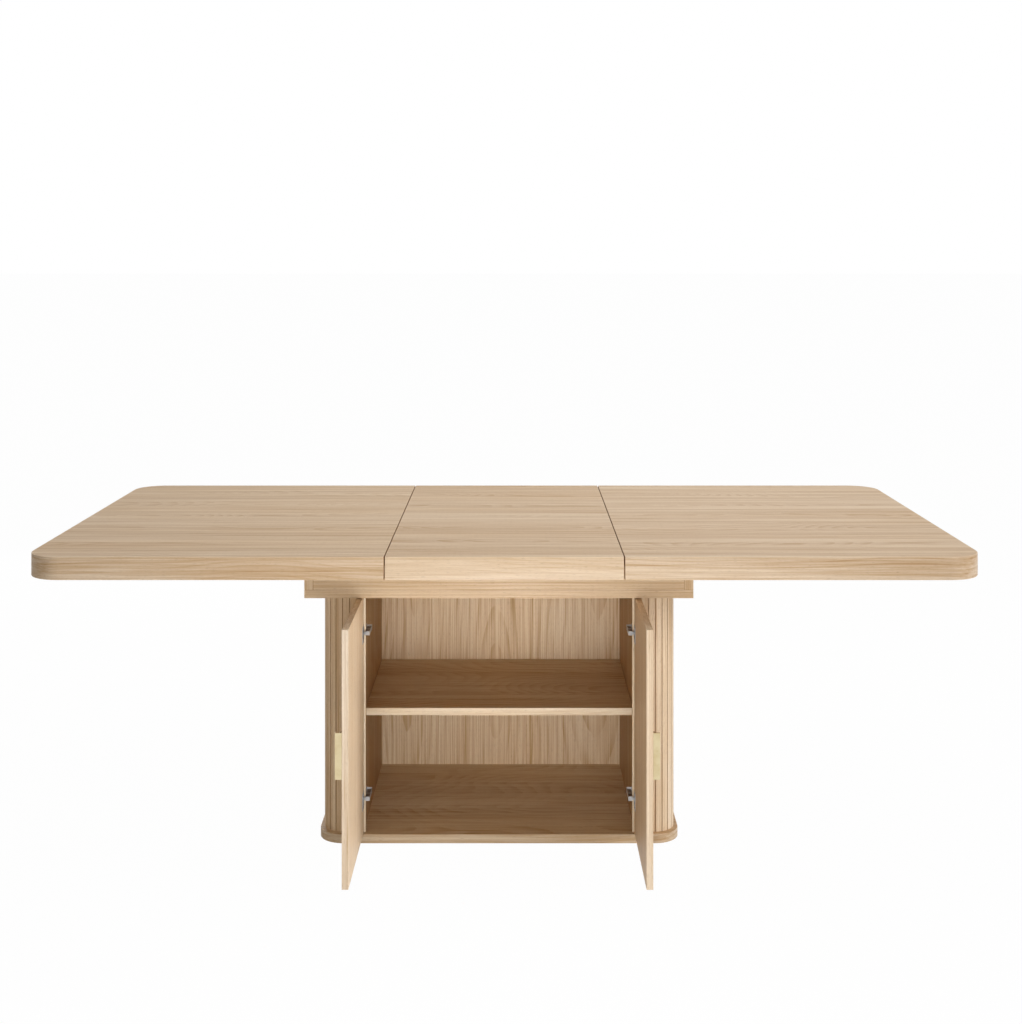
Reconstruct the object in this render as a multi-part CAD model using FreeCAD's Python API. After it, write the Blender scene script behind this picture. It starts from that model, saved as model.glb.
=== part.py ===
"""Extending oak table on a fluted storage cabinet.

Frame: +X to the right, +Y to the back, +Z up, millimetres.
The origin lies on the floor under the middle of the table top.
The doors are stored open at 90 degrees and the middle leaf is in place.
"""
import FreeCAD, Part
import math
import os

Vector = FreeCAD.Vector
UP = Vector(0, 0, 1)
ACROSS = Vector(0, 1, 0)

# ---- clearances --------------------------------------------------------------
SLIDE_GAP = 0.4          # between wooden pieces that slide on each other
SEAT_GAP = 0.2           # round a piece that sits in a pocket
RUNNING_GAP = 0.08       # round a hinge pin
DOOR_GAP = 3.0           # round the closed doors
DOOR_BACK_GAP = 2.0      # closed door to the cabinet's front edges

# ---- table top ---------------------------------------------------------------
TOP_LENGTH = 2200.0
TOP_DEPTH = 1100.0
TOP_HEIGHT = 760.0
TOP_EDGE = 53.0          # height of the edge all round
TOP_PANEL = 25.0         # thickness of the panel inside the edge
TOP_BAND = 22.0          # thickness of the edge band
TOP_CORNER = 80.0
LEAF_WIDTH = 550.0
LEAF_SEAM = 2.0

# ---- rail box under the top --------------------------------------------------
CABINET_SHIFT = -15.0    # the cabinet stands this far off the middle of the top
BOX_OVERHANG_X = 38.5    # the box past the cabinet at each end
BOX_OVERHANG_Y = 45.0    # and at the front and the rear
BOX_DROP = 124.0         # from the panels' underside to the box's underside
BOX_BOARD = 22.0
BOX_FLOOR = 20.0
BOX_TOP_GAP = 2.0

# ---- runners and guide rails -------------------------------------------------
GUIDE_INSET = 62.0       # from the box's inner face to the middle of a guide rail
GUIDE_WIDTH = 30.0
TONGUE_HEIGHT = 12.0
TONGUE_DEPTH = 8.0
RUNNER_WIDTH = 28.0
RUNNER_HEIGHT = 72.0
RUNNER_REACH = 150.0     # how far a runner passes the middle of the cabinet
RUNNER_END = 90.0        # from the runner's outer end to the end of the top
BATTEN_WIDTH = 45.0
BATTEN_HEIGHT = 22.0
BATTEN_X = 140.0
BATTEN_GAP = 6.0

# ---- cabinet -----------------------------------------------------------------
CABINET_WIDTH = 874.0
CABINET_DEPTH = 518.0
CABINET_CORNER = 55.0
SIDE_PANEL = 18.0
LIP_WIDTH = 22.5         # front lipping of a side panel
LIP_DEPTH = 12.0
BACK_PANEL = 9.0
WRAP_THICKNESS = 8.0
WRAP_FRONT = 85.0        # from a side panel to the cabinet's end, seen from the front
SLAT_PITCH = 17.5
GROOVE_WIDTH = 2.0
GROOVE_DEPTH = 3.0
RIB_HEIGHT = 18.0
SHELF_THICKNESS = 18.0
SHELF_TOP = 318.5
SHELF_SETBACK = 37.0     # from the cabinet's front to the shelf's front edge
SHELF_SIDE_GAP = 1.0
SHELF_PIN_RADIUS = 3.0
SHELF_PIN_DEPTH = 10.0
SHELF_PIN_REACH = 9.0
SHELF_PIN_INSET = 60.0

# ---- base --------------------------------------------------------------------
BASE_LEDGE_X = 9.0       # the base plate past the cabinet at each end
BASE_LEDGE_Y = 16.0      # and at the front and the rear
BASE_THICKNESS = 22.0
BASE_CORNER = 62.0
GLIDE_RADIUS = 25.0
GLIDE_THICKNESS = 3.0
GLIDE_STAND = 1.0        # how far a glide stands below the base plate
GLIDE_INSET = 60.0

# ---- doors -------------------------------------------------------------------
DOOR_THICKNESS = 15.0
DOOR_REVEAL = 3.0        # from a closed door's hinge edge to the fluted wrap
DOOR_MEETING_GAP = 3.0
DOOR_ROUNDING = 3.0
PIVOT_BEFORE_FRONT = 10.0
PULL_HEIGHT = 105.0
PULL_PROJECTION = 15.5
PULL_WIDTH = 14.0
PULL_LEG = 4.0
PULL_LEVEL = 299.0       # from the door's bottom to the middle of the pull

# ---- hinges ------------------------------------------------------------------
LOWER_HINGE_RISE = 83.0  # above the door's bottom
UPPER_HINGE_DROP = 91.0  # below the door's top
CUP_RADIUS = 17.5
CUP_DEPTH = 11.0
CUP_WALL = 0.8
CUP_FLANGE = 1.0
CUP_FLANGE_HEIGHT = 56.0
CUP_EDGE = 4.0           # wood left between the cup and the door's edge
HINGE_PIN_RADIUS = 1.0
HINGE_PIN_LENGTH = 16.0
KNUCKLE_RADIUS = 1.7
KNUCKLE_LENGTH = 7.0
CRANK_THICKNESS = 2.6
ARM_PLATE = 2.0
ARM_PLATE_HEIGHT = 24.0
ARM_PLATE_LENGTH = 36.0
ARM_PLATE_INSET = 19.0
ARM_RISE = 15.0          # from the side panel to the inner face of the arm
ARM_WIDTH = 16.0
ARM_NOSE_WIDTH = 14.0
ARM_LIP_GAP = 0.5        # between the arm's nose and the side panel's lipping

# ---- worked out from the above -----------------------------------------------
PANEL_UNDERSIDE = TOP_HEIGHT - TOP_PANEL
EDGE_UNDERSIDE = TOP_HEIGHT - TOP_EDGE
TOP_END = TOP_LENGTH / 2
TOP_FRONT = -TOP_DEPTH / 2
SEAM_X = LEAF_WIDTH / 2

BASE_WIDTH = CABINET_WIDTH + 2 * BASE_LEDGE_X
BASE_DEPTH = CABINET_DEPTH + 2 * BASE_LEDGE_Y
BASE_TOP = GLIDE_STAND + BASE_THICKNESS
CABINET_FRONT = -CABINET_DEPTH / 2
CABINET_BACK = CABINET_DEPTH / 2
CABINET_SIDE = CABINET_WIDTH / 2
SIDE_OUTER = CABINET_SIDE - WRAP_FRONT
SIDE_INNER = SIDE_OUTER - SIDE_PANEL
LIP_INNER = SIDE_OUTER - LIP_WIDTH
LIP_BACK = CABINET_FRONT + LIP_DEPTH
WRAP_INNER = CABINET_SIDE - WRAP_THICKNESS
BACK_FACE_Y = CABINET_BACK - WRAP_THICKNESS - BACK_PANEL

BOX_SIDE = CABINET_SIDE + BOX_OVERHANG_X
BOX_FRONT = CABINET_FRONT - BOX_OVERHANG_Y
BOX_BOTTOM = PANEL_UNDERSIDE - BOX_DROP
BOX_FLOOR_TOP = BOX_BOTTOM + BOX_FLOOR
BOX_TOP = PANEL_UNDERSIDE - BOX_TOP_GAP
BOX_INNER_SIDE = BOX_SIDE - BOX_BOARD

GUIDE_Y = -BOX_FRONT - BOX_BOARD - GUIDE_INSET
RUNNER_BOTTOM = PANEL_UNDERSIDE - RUNNER_HEIGHT
TONGUE_Z = (RUNNER_BOTTOM + PANEL_UNDERSIDE) / 2
INNER_RUNNER_Y = GUIDE_Y - GUIDE_WIDTH / 2 - SLIDE_GAP - RUNNER_WIDTH / 2
OUTER_RUNNER_Y = GUIDE_Y + GUIDE_WIDTH / 2 + SLIDE_GAP + RUNNER_WIDTH / 2

DOOR_INNER_Y = CABINET_FRONT - DOOR_BACK_GAP
DOOR_OUTER_Y = DOOR_INNER_Y - DOOR_THICKNESS
DOOR_HINGE_EDGE = SIDE_OUTER - DOOR_REVEAL
DOOR_BOTTOM = BASE_TOP + DOOR_GAP
DOOR_TOP = BOX_BOTTOM - DOOR_GAP
DOOR_WIDTH = DOOR_HINGE_EDGE - DOOR_MEETING_GAP / 2
PIVOT_Y = CABINET_FRONT - PIVOT_BEFORE_FRONT
PIVOT_X = SIDE_INNER + DOOR_INNER_Y - PIVOT_Y
CUP_X = DOOR_HINGE_EDGE - CUP_EDGE - CUP_RADIUS
PULL_CENTRE_Z = DOOR_BOTTOM + PULL_LEVEL
HINGE_LEVELS = {"lower": DOOR_BOTTOM + LOWER_HINGE_RISE, "upper": DOOR_TOP - UPPER_HINGE_DROP}

SIDES = {"left": -1, "right": 1}


def block(x, y, z):
    """A box from three (low, high) pairs."""
    corner = Vector(min(x), min(y), min(z))
    return Part.makeBox(abs(x[1] - x[0]), abs(y[1] - y[0]), abs(z[1] - z[0]), corner)


def span(middle, size):
    return (middle - size / 2, middle + size / 2)


def rounded_block(x, y, z, radius):
    """A box whose four upright edges are rounded."""
    body = block(x, y, z)
    upright = [edge for edge in body.Edges if abs(edge.tangentAt(0).z) > 0.9]
    return body.makeFillet(radius, upright)


def mirrored(shape, side):
    """The shape itself on the right, its mirror image on the left."""
    return shape if side > 0 else shape.mirror(Vector(0, 0, 0), Vector(1, 0, 0))


def in_cabinet(shape):
    """Move a shape from the cabinet's own middle to its place under the top."""
    shape.translate(Vector(CABINET_SHIFT, 0, 0))
    return shape


def save(name, shape):
    solids = shape.Solids
    if len(solids) != 1 or not shape.isValid():
        raise ValueError(f"{name}: {len(solids)} solids, valid {shape.isValid()}")
    solids[0].exportStep(f"parts/{name}.step")


# ---- base plate and glides ---------------------------------------------------
def glide_places():
    x = BASE_WIDTH / 2 - GLIDE_INSET
    y = BASE_DEPTH / 2 - GLIDE_INSET
    return {
        "glide_front_left": (-x, -y),
        "glide_front_right": (x, -y),
        "glide_rear_left": (-x, y),
        "glide_rear_right": (x, y),
        "glide_middle": (0, 0),
    }


def base_plate():
    half_width = BASE_WIDTH / 2
    half_depth = BASE_DEPTH / 2
    z = (GLIDE_STAND, BASE_TOP)
    plate = rounded_block((-half_width, half_width), (-half_depth, half_depth), z, BASE_CORNER)
    for x, y in glide_places().values():
        pocket = Part.makeCylinder(GLIDE_RADIUS + SEAT_GAP, GLIDE_THICKNESS, Vector(x, y, 0))
        plate = plate.cut(pocket)
    return plate


def glide(x, y):
    return Part.makeCylinder(GLIDE_RADIUS, GLIDE_THICKNESS, Vector(x, y, 0))


# ---- cabinet -----------------------------------------------------------------
def pin_places():
    """Y of the front and the rear shelf pin."""
    front = CABINET_FRONT + SHELF_SETBACK + SHELF_PIN_INSET
    return {"front": front, "rear": BACK_FACE_Y - SHELF_PIN_INSET}


def pin_level():
    return SHELF_TOP - SHELF_THICKNESS - SHELF_PIN_RADIUS


def shelf_pin(y, radius=SHELF_PIN_RADIUS):
    start = Vector(SIDE_INNER + SHELF_PIN_DEPTH, y, pin_level())
    return Part.makeCylinder(radius, SHELF_PIN_DEPTH + SHELF_PIN_REACH, start, Vector(-1, 0, 0))


def side_panel():
    """Right side panel with the wider lipping along its front edge."""
    z = (BASE_TOP, BOX_BOTTOM)
    panel = block((SIDE_INNER, SIDE_OUTER), (CABINET_FRONT, BACK_FACE_Y), z)
    lipping = block((LIP_INNER, SIDE_OUTER), (CABINET_FRONT, LIP_BACK), z)
    panel = panel.fuse(lipping).removeSplitter()
    for y in pin_places().values():
        panel = panel.cut(shelf_pin(y, SHELF_PIN_RADIUS + SEAT_GAP))
    return panel


def back_panel():
    y = (BACK_FACE_Y, BACK_FACE_Y + BACK_PANEL)
    return block((-SIDE_OUTER, SIDE_OUTER), y, (BASE_TOP, BOX_BOTTOM))


def middle_shelf():
    half = SIDE_INNER - SHELF_SIDE_GAP
    y = (CABINET_FRONT + SHELF_SETBACK, BACK_FACE_Y)
    return block((-half, half), y, (SHELF_TOP - SHELF_THICKNESS, SHELF_TOP))


def rib_levels():
    """Bottom of each rib that carries the fluted wrap."""
    middle = (BASE_TOP + BOX_BOTTOM - RIB_HEIGHT) / 2
    return {"lower": BASE_TOP, "middle": middle, "upper": BOX_BOTTOM - RIB_HEIGHT}


def rib(bottom):
    """One shelf-like former between a side panel and the wrap."""
    depth = CABINET_BACK - WRAP_THICKNESS
    radius = CABINET_CORNER - WRAP_THICKNESS
    z = (bottom, bottom + RIB_HEIGHT)
    whole = rounded_block((-WRAP_INNER, WRAP_INNER), (-depth, depth), z, radius)
    return whole.common(block((SIDE_OUTER, CABINET_SIDE), (-depth, depth), z))


def cabinet_shell():
    """The closed rounded tube that the wraps and the rear panel are cut from."""
    z = (BASE_TOP, BOX_BOTTOM)
    half = CABINET_DEPTH / 2
    outer = rounded_block((-CABINET_SIDE, CABINET_SIDE), (-half, half), z, CABINET_CORNER)
    hollow = half - WRAP_THICKNESS
    radius = CABINET_CORNER - WRAP_THICKNESS
    inner = rounded_block((-WRAP_INNER, WRAP_INNER), (-hollow, hollow), z, radius)
    return outer.cut(inner)


def groove(x, y, angle, low, high):
    """A groove at an outline point; angle is the outward direction in degrees."""
    tool = block((-GROOVE_DEPTH, GROOVE_DEPTH), span(0, GROOVE_WIDTH), (low, high))
    tool.rotate(Vector(0, 0, 0), UP, angle)
    tool.translate(Vector(x, y, 0))
    return tool


def right_outline(distance):
    """Point and outward direction at a distance along the right wrap."""
    bend_x = CABINET_SIDE - CABINET_CORNER
    bend_y = CABINET_BACK - CABINET_CORNER
    arc = CABINET_CORNER * math.pi / 2
    front = bend_x - SIDE_OUTER
    if distance < front:
        return SIDE_OUTER + distance, CABINET_FRONT, -90.0
    distance -= front
    if distance < arc:
        turn = distance / CABINET_CORNER
        x = bend_x + CABINET_CORNER * math.sin(turn)
        y = -bend_y - CABINET_CORNER * math.cos(turn)
        return x, y, math.degrees(turn) - 90.0
    distance -= arc
    if distance < 2 * bend_y:
        return CABINET_SIDE, distance - bend_y, 0.0
    turn = (distance - 2 * bend_y) / CABINET_CORNER
    x = bend_x + CABINET_CORNER * math.cos(turn)
    y = bend_y + CABINET_CORNER * math.sin(turn)
    return x, y, math.degrees(turn)


def fluted_wrap():
    """The fluted skin of the right end, from beside the door to the rear."""
    bend_x = CABINET_SIDE - CABINET_CORNER
    z = (BASE_TOP, BOX_BOTTOM)
    front = block((SIDE_OUTER, CABINET_SIDE), (CABINET_FRONT, 0), z)
    rear = block((bend_x, CABINET_SIDE), (0, CABINET_BACK), z)
    wrap = cabinet_shell().common(front.fuse(rear))
    straight = bend_x - SIDE_OUTER + CABINET_DEPTH - 2 * CABINET_CORNER
    length = straight + CABINET_CORNER * math.pi
    count = round(length / SLAT_PITCH)
    grooves = [groove(*right_outline(length * i / count), *z) for i in range(1, count)]
    return wrap.cut(Part.makeCompound(grooves))


def rear_fluted_panel():
    bend_x = CABINET_SIDE - CABINET_CORNER
    y = (CABINET_BACK - WRAP_THICKNESS, CABINET_BACK)
    z = (BASE_TOP, BOX_BOTTOM)
    panel = block((-bend_x, bend_x), y, z)
    count = round(2 * bend_x / SLAT_PITCH)
    places = [2 * bend_x * i / count - bend_x for i in range(1, count)]
    grooves = [groove(x, CABINET_BACK, 90.0, *z) for x in places]
    return panel.cut(Part.makeCompound(grooves))


# ---- rail box ----------------------------------------------------------------
def box_floor():
    y = (BOX_FRONT, -BOX_FRONT)
    return block((-BOX_SIDE, BOX_SIDE), y, (BOX_BOTTOM, BOX_FLOOR_TOP))


def box_rail(face_y, side):
    """Front (side -1) or rear (side 1) board between the two end boards."""
    y = (face_y, face_y - side * BOX_BOARD)
    return block((-BOX_INNER_SIDE, BOX_INNER_SIDE), y, (BOX_FLOOR_TOP, BOX_TOP))


def box_end(runner_y):
    """Right end board, open at the top where a half's runners pass."""
    board = block((BOX_INNER_SIDE, BOX_SIDE), (BOX_FRONT, -BOX_FRONT), (BOX_FLOOR_TOP, BOX_TOP))
    slot_width = RUNNER_WIDTH + 2 * SLIDE_GAP
    slot_z = (RUNNER_BOTTOM - SLIDE_GAP, BOX_TOP)
    for y in (-runner_y, runner_y):
        board = board.cut(block((BOX_INNER_SIDE, BOX_SIDE), span(y, slot_width), slot_z))
    return board


def guide_rail(y):
    """Fixed rail with a tongue along each side for the runners."""
    x = (-BOX_INNER_SIDE, BOX_INNER_SIDE)
    rail = block(x, span(y, GUIDE_WIDTH), (BOX_FLOOR_TOP, PANEL_UNDERSIDE))
    tongue = block(x, span(y, GUIDE_WIDTH + 2 * TONGUE_DEPTH), span(TONGUE_Z, TONGUE_HEIGHT))
    return rail.fuse(tongue).removeSplitter()


# ---- halves of the top -------------------------------------------------------
def half_outline(inset, z):
    """The right half's outline, set in from the outer edge, as a solid."""
    x = (0, TOP_END - inset)
    y = (TOP_FRONT + inset, -TOP_FRONT - inset)
    body = block((-x[1], x[1]), y, z)
    upright = [edge for edge in body.Edges if abs(edge.tangentAt(0).z) > 0.9]
    body = body.makeFillet(TOP_CORNER - inset, upright)
    return body.common(block((SEAM_X, x[1]), y, z))


def half_panel():
    return half_outline(TOP_BAND, (PANEL_UNDERSIDE, TOP_HEIGHT))


def half_end_band():
    """The band round the end of a half, with both rounded corners."""
    z = (EDGE_UNDERSIDE, TOP_HEIGHT)
    ring = half_outline(0, z).cut(half_outline(TOP_BAND, z))
    y = (TOP_FRONT, -TOP_FRONT)
    return ring.common(block((TOP_END - TOP_CORNER, TOP_END), y, z))


def long_band(x, y_side):
    """A straight edge band along the front (-1) or the rear (1)."""
    face = -y_side * TOP_FRONT
    y = (face, face - y_side * TOP_BAND)
    return block(x, y, (EDGE_UNDERSIDE, TOP_HEIGHT))


def runner(y, guide_y):
    """Bar under a half, grooved for a guide rail's tongue and eased under the leaf."""
    x = (-RUNNER_REACH, TOP_END - RUNNER_END)
    bar = block(x, span(y, RUNNER_WIDTH), (RUNNER_BOTTOM, PANEL_UNDERSIDE))
    groove_height = TONGUE_HEIGHT + 2 * SLIDE_GAP
    towards = 1 if guide_y > y else -1
    face = y + towards * RUNNER_WIDTH / 2
    groove_y = (face, face - towards * TONGUE_DEPTH)
    bar = bar.cut(block(x, groove_y, span(TONGUE_Z, groove_height)))
    eased_z = (PANEL_UNDERSIDE - SLIDE_GAP, PANEL_UNDERSIDE)
    return bar.cut(block((x[0], SEAM_X), span(y, RUNNER_WIDTH), eased_z))


# ---- middle leaf -------------------------------------------------------------
def leaf_span():
    half = SEAM_X - LEAF_SEAM
    return (-half, half)


def leaf_panel():
    half_depth = TOP_DEPTH / 2 - TOP_BAND
    return block(leaf_span(), (-half_depth, half_depth), (PANEL_UNDERSIDE, TOP_HEIGHT))


def leaf_batten(x):
    reach = INNER_RUNNER_Y - RUNNER_WIDTH / 2 - BATTEN_GAP
    z = (PANEL_UNDERSIDE - BATTEN_HEIGHT, PANEL_UNDERSIDE)
    return block(span(x, BATTEN_WIDTH), (-reach, reach), z)


# ---- doors -------------------------------------------------------------------
def cup_places():
    return [Vector(CUP_X, DOOR_INNER_Y, z) for z in HINGE_LEVELS.values()]


def closed_door():
    """Right door, closed: fluted outer face, bored for two hinge cups."""
    meeting = DOOR_MEETING_GAP / 2
    z = (DOOR_BOTTOM, DOOR_TOP)
    door = block((meeting, DOOR_HINGE_EDGE), (DOOR_OUTER_Y, DOOR_INNER_Y), z)
    hinge_corner = [
        edge for edge in door.Edges
        if abs(edge.tangentAt(0).z) > 0.9
        and abs(edge.CenterOfMass.x - DOOR_HINGE_EDGE) < SEAT_GAP
        and abs(edge.CenterOfMass.y - DOOR_INNER_Y) < SEAT_GAP
    ]
    door = door.makeFillet(DOOR_ROUNDING, hinge_corner)
    for place in cup_places():
        bore = Part.makeCylinder(CUP_RADIUS + SEAT_GAP, CUP_DEPTH, place, -ACROSS)
        door = door.cut(bore)
    count = round(DOOR_WIDTH / SLAT_PITCH)
    places = [meeting + DOOR_WIDTH * i / count for i in range(1, count)]
    grooves = [groove(x, DOOR_OUTER_Y, -90.0, *z) for x in places]
    return door.cut(Part.makeCompound(grooves))


def closed_pull():
    """Brass angle along the right door's meeting edge."""
    meeting = DOOR_MEETING_GAP / 2
    z = span(PULL_CENTRE_Z, PULL_HEIGHT)
    tip = DOOR_OUTER_Y - PULL_PROJECTION
    fin = block((meeting, meeting + PULL_LEG), (tip, DOOR_OUTER_Y), z)
    foot = block((meeting, meeting + PULL_WIDTH), (DOOR_OUTER_Y - PULL_LEG, DOOR_OUTER_Y), z)
    return fin.fuse(foot).removeSplitter()


def closed_cup(level):
    """Hinge cup pressed into the right door, with its flange and hinge pin."""
    centre = Vector(CUP_X, DOOR_INNER_Y, level)
    depth = CUP_DEPTH - SEAT_GAP
    cup = Part.makeCylinder(CUP_RADIUS, depth, centre, -ACROSS)
    flange = block(
        span(CUP_X, 2 * CUP_RADIUS),
        (DOOR_INNER_Y, DOOR_INNER_Y + CUP_FLANGE),
        span(level, CUP_FLANGE_HEIGHT),
    )
    mouth = Vector(CUP_X, DOOR_INNER_Y + CUP_FLANGE, level)
    hollow = Part.makeCylinder(CUP_RADIUS - CUP_WALL, depth + CUP_FLANGE - CUP_WALL, mouth, -ACROSS)
    pin_place = Vector(PIVOT_X, PIVOT_Y, level - HINGE_PIN_LENGTH / 2)
    pin = Part.makeCylinder(HINGE_PIN_RADIUS, HINGE_PIN_LENGTH, pin_place)
    return cup.fuse(flange).cut(hollow).fuse(pin).removeSplitter()


def opened(shape):
    """Swing a piece of the closed right door open by 90 degrees."""
    shape.rotate(Vector(PIVOT_X, PIVOT_Y, 0), UP, 90)
    return shape


def hinge_arm(level):
    """Mounting plate on the right side panel, with the cranked arm to the pin."""
    front = CABINET_FRONT + ARM_PLATE_INSET
    rear = front + ARM_PLATE_LENGTH
    raised = SIDE_INNER - ARM_RISE
    seat = SIDE_INNER - ARM_PLATE
    plate = block((seat, SIDE_INNER), (front, rear), span(level, ARM_PLATE_HEIGHT))
    body = block((raised, seat), (LIP_BACK + ARM_LIP_GAP, rear), span(level, ARM_WIDTH))
    nose_x = (raised, LIP_INNER - ARM_LIP_GAP)
    nose_y = (PIVOT_Y - CRANK_THICKNESS / 2, LIP_BACK + ARM_LIP_GAP)
    nose = block(nose_x, nose_y, span(level, ARM_NOSE_WIDTH))
    knuckle_z = span(level, KNUCKLE_LENGTH)
    crank = block((nose_x[1], PIVOT_X), span(PIVOT_Y, CRANK_THICKNESS), knuckle_z)
    foot = Vector(PIVOT_X, PIVOT_Y, knuckle_z[0])
    knuckle = Part.makeCylinder(KNUCKLE_RADIUS, KNUCKLE_LENGTH, foot)
    hole = Part.makeCylinder(HINGE_PIN_RADIUS + RUNNING_GAP, KNUCKLE_LENGTH, foot)
    arm = plate.fuse([body, nose, crank, knuckle])
    return arm.cut(hole).removeSplitter()


def write_cabinet():
    save("base_plate", in_cabinet(base_plate()))
    for name, (x, y) in glide_places().items():
        save(name, in_cabinet(glide(x, y)))
    save("back_panel", in_cabinet(back_panel()))
    save("middle_shelf", in_cabinet(middle_shelf()))
    save("rear_fluted_panel", in_cabinet(rear_fluted_panel()))
    for name, side in SIDES.items():
        save(f"{name}_side_panel", in_cabinet(mirrored(side_panel(), side)))
        save(f"{name}_fluted_wrap", in_cabinet(mirrored(fluted_wrap(), side)))
        for level, bottom in rib_levels().items():
            save(f"{name}_{level}_rib", in_cabinet(mirrored(rib(bottom), side)))
        for place, y in pin_places().items():
            save(f"{name}_{place}_shelf_pin", in_cabinet(mirrored(shelf_pin(y), side)))
        for level, z in HINGE_LEVELS.items():
            save(f"{name}_{level}_hinge_arm", in_cabinet(mirrored(hinge_arm(z), side)))


def write_box():
    save("box_floor_board", in_cabinet(box_floor()))
    save("box_front_board", in_cabinet(box_rail(BOX_FRONT, -1)))
    save("box_rear_board", in_cabinet(box_rail(-BOX_FRONT, 1)))
    save("box_left_end", in_cabinet(mirrored(box_end(INNER_RUNNER_Y), -1)))
    save("box_right_end", in_cabinet(box_end(OUTER_RUNNER_Y)))
    save("front_guide_rail", in_cabinet(guide_rail(-GUIDE_Y)))
    save("rear_guide_rail", in_cabinet(guide_rail(GUIDE_Y)))


def write_top():
    band_x = (SEAM_X, TOP_END - TOP_CORNER)
    runner_y = {"left": INNER_RUNNER_Y, "right": OUTER_RUNNER_Y}
    for name, side in SIDES.items():
        save(f"{name}_top_panel", mirrored(half_panel(), side))
        save(f"{name}_end_band", mirrored(half_end_band(), side))
        for place, y_side in (("front", -1), ("rear", 1)):
            save(f"{name}_{place}_band", mirrored(long_band(band_x, y_side), side))
            bar = runner(y_side * runner_y[name], y_side * GUIDE_Y)
            save(f"{name}_{place}_runner", mirrored(bar, side))
    save("leaf_panel", leaf_panel())
    for place, side in (("front", -1), ("rear", 1)):
        save(f"leaf_{place}_band", long_band(leaf_span(), side))
    for name, side in SIDES.items():
        save(f"leaf_{name}_batten", leaf_batten(side * BATTEN_X))


def write_doors():
    for name, side in SIDES.items():
        save(f"{name}_door_panel", in_cabinet(mirrored(opened(closed_door()), side)))
        save(f"{name}_door_pull", in_cabinet(mirrored(opened(closed_pull()), side)))
        for level, z in HINGE_LEVELS.items():
            cup = mirrored(opened(closed_cup(z)), side)
            save(f"{name}_{level}_hinge_cup", in_cabinet(cup))


os.makedirs("parts", exist_ok=True)
write_cabinet()
write_box()
write_top()
write_doors()
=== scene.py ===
# %% [markdown]
# # An extending oak table on a fluted cabinet
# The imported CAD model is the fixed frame. It already has every board, hinge and
# glide in its place and at its size. This notebook dresses it: arrises that are
# eased as a joiner sands them, oak with real growth rings, brass, nickel and felt.

import math
import random

import bmesh
import bpy
from mathutils import Matrix, Vector


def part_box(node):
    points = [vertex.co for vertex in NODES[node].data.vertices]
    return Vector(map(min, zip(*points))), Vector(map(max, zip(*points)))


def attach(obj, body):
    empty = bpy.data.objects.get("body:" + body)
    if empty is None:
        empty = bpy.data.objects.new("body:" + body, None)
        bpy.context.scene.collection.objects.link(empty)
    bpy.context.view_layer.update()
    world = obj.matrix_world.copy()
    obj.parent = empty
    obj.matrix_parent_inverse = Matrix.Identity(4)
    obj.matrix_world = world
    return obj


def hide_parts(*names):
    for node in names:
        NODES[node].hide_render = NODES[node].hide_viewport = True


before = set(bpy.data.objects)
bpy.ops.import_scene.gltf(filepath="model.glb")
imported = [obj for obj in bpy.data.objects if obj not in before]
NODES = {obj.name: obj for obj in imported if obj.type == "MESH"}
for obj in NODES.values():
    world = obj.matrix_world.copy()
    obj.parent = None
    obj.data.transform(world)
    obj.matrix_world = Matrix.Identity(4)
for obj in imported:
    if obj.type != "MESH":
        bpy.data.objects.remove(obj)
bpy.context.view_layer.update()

# %% [markdown]
# ## Shader maths as Python
# A procedural wood needs a lot of arithmetic, and a long chain of Math nodes is
# hard to read. A small class wraps a socket so that `a * 2 + b` builds the nodes.
# Node groups would also work, but an expression shows the formula in one place.


# %% Wire: a socket with arithmetic
class Wire:
    """An output socket that Python's own arithmetic signs work on."""

    def __init__(self, graph, socket):
        self.graph = graph
        self.socket = socket

    def maths(self, operation, *others, clamp=False):
        settings = {"operation": operation, "use_clamp": clamp}
        return self.graph.add("ShaderNodeMath", settings, self, *others)

    def out(self, name):
        """Another output of the node that this wire comes from."""
        return Wire(self.graph, self.socket.node.outputs[name])

    def __add__(self, other):
        return self.maths("ADD", other)

    def __sub__(self, other):
        return self.maths("SUBTRACT", other)

    def __rsub__(self, other):
        return self.graph.add("ShaderNodeMath", {"operation": "SUBTRACT"}, other, self)

    def __mul__(self, other):
        return self.maths("MULTIPLY", other)

    def __pow__(self, other):
        return self.maths("POWER", other)

    __radd__ = __add__
    __rmul__ = __mul__


print("signs that a wire knows: + - * **")


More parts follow.
